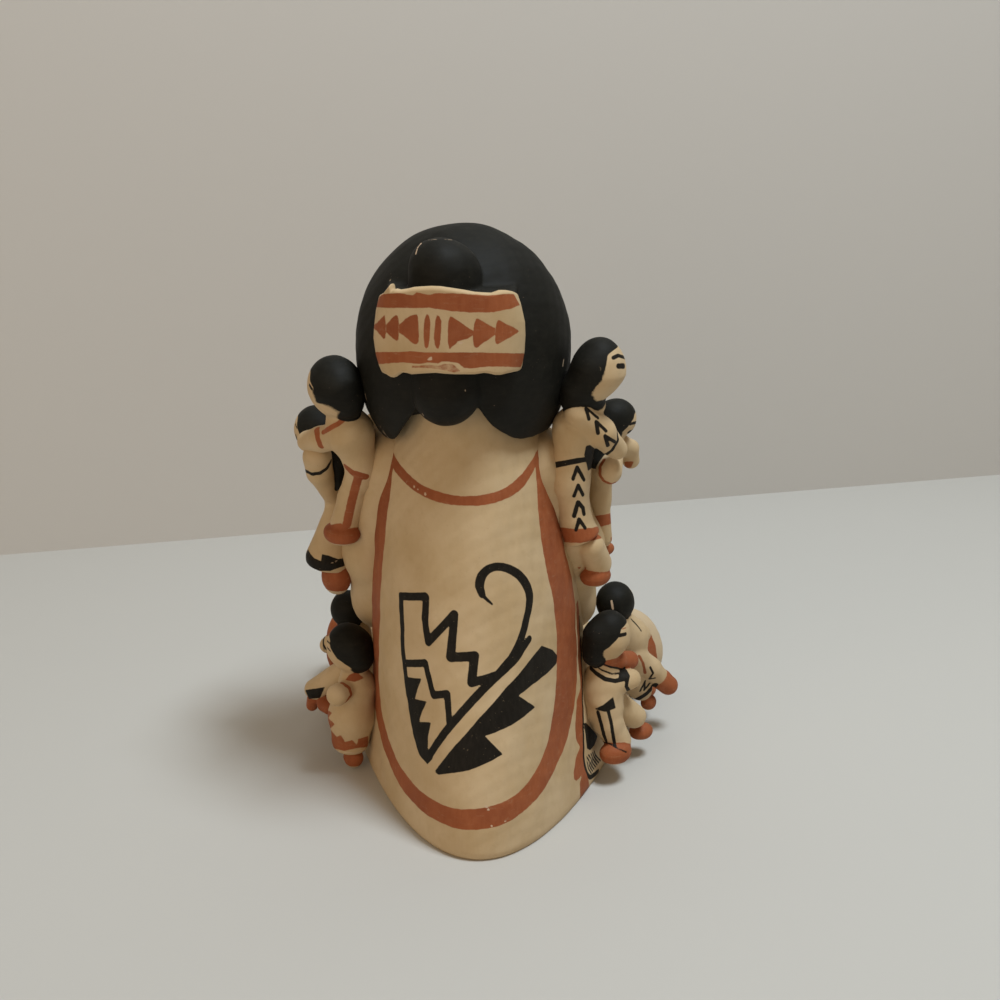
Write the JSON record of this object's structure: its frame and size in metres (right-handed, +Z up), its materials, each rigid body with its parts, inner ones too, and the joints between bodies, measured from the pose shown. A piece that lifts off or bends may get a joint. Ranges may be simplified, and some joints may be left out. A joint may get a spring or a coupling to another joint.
{
  "type": "pottery storyteller figure",
  "caption": "Seated painted clay storyteller with open mouth, bound hair knot and outstretched legs, with small children clinging to its arms, lap and hips; a shelf ornament.",
  "frame": {"origin": "on the surface that the figure sits on, under the middle of its outer box", "axes": "+Z up to the crown of the large head, -Y the way the figure faces, +X its own left side"},
  "size_m": [0.1408, 0.139, 0.2],
  "materials": {
    "painted_clay": "matte"
  },
  "bodies": {
    "root": {"storyteller_figure": "painted_clay"}
  },
  "joints": []
}
